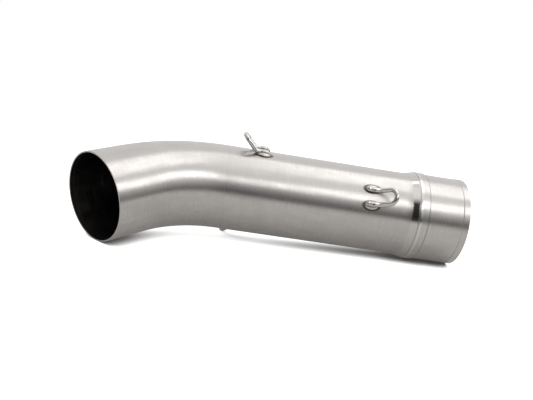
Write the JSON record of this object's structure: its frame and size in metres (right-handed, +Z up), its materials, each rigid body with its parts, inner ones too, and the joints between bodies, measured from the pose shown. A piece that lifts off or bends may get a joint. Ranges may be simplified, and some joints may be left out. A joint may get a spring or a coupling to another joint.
{
  "type": "motorcycle decat pipe",
  "caption": "Bent stainless exhaust link pipe with a formed outlet socket, a plain sized inlet end and welded bent-wire spring hooks.",
  "frame": {"origin": "middle of the part's footprint, on the floor that it lies on", "axes": "+Z up as the pipe lies on its socket lip, under hook and inlet rim; +X towards the outlet, under the straight run; the bend turns the inlet towards -Y"},
  "size_m": [0.279, 0.1042, 0.079],
  "materials": {
    "tube": "brushed round the tube, polished on the cone",
    "wire": "bright drawn wire",
    "weld": "bright rippled weld bead"
  },
  "bodies": {
    "root": {"pipe": "tube", "hook_inlet_top": "wire", "hook_inlet_under": "wire", "hook_outlet_front": "wire", "hook_outlet_rear": "wire", "weld_inlet_top": "weld", "weld_inlet_under": "weld", "weld_outlet_front": "weld", "weld_outlet_rear": "weld"}
  },
  "joints": []
}
